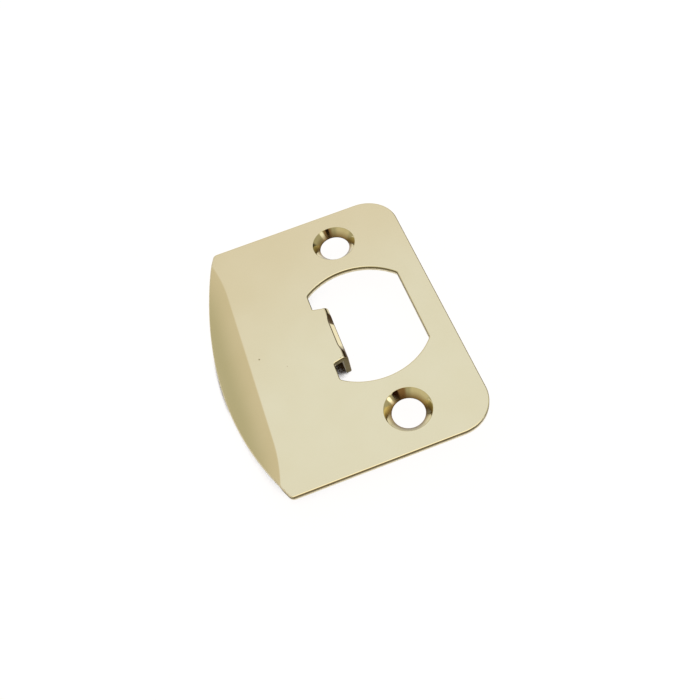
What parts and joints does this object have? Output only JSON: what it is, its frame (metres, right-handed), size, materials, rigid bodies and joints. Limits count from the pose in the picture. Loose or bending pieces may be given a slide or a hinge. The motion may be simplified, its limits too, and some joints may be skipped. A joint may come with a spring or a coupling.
{
  "type": "door strike plate",
  "caption": "Stamped brass full-lip door strike plate with a curled lip, latch opening, folded adjusting tang and pressed countersunk screw holes.",
  "frame": {"origin": "midway between the two screw holes, on the plane of the sheet's back face", "axes": "+Z out of the seen front face, +Y along the plate's long side, +X from the lip towards the jamb edge; the plate keeps the frame it is screwed in, because the lip, the tang and the pressed countersinks stand behind the back face"},
  "size_m": [0.0444, 0.0572, 0.0063],
  "materials": {
    "strike_plate": "polished bright brass"
  },
  "bodies": {
    "root": {"strike_plate": "strike_plate"}
  },
  "joints": []
}
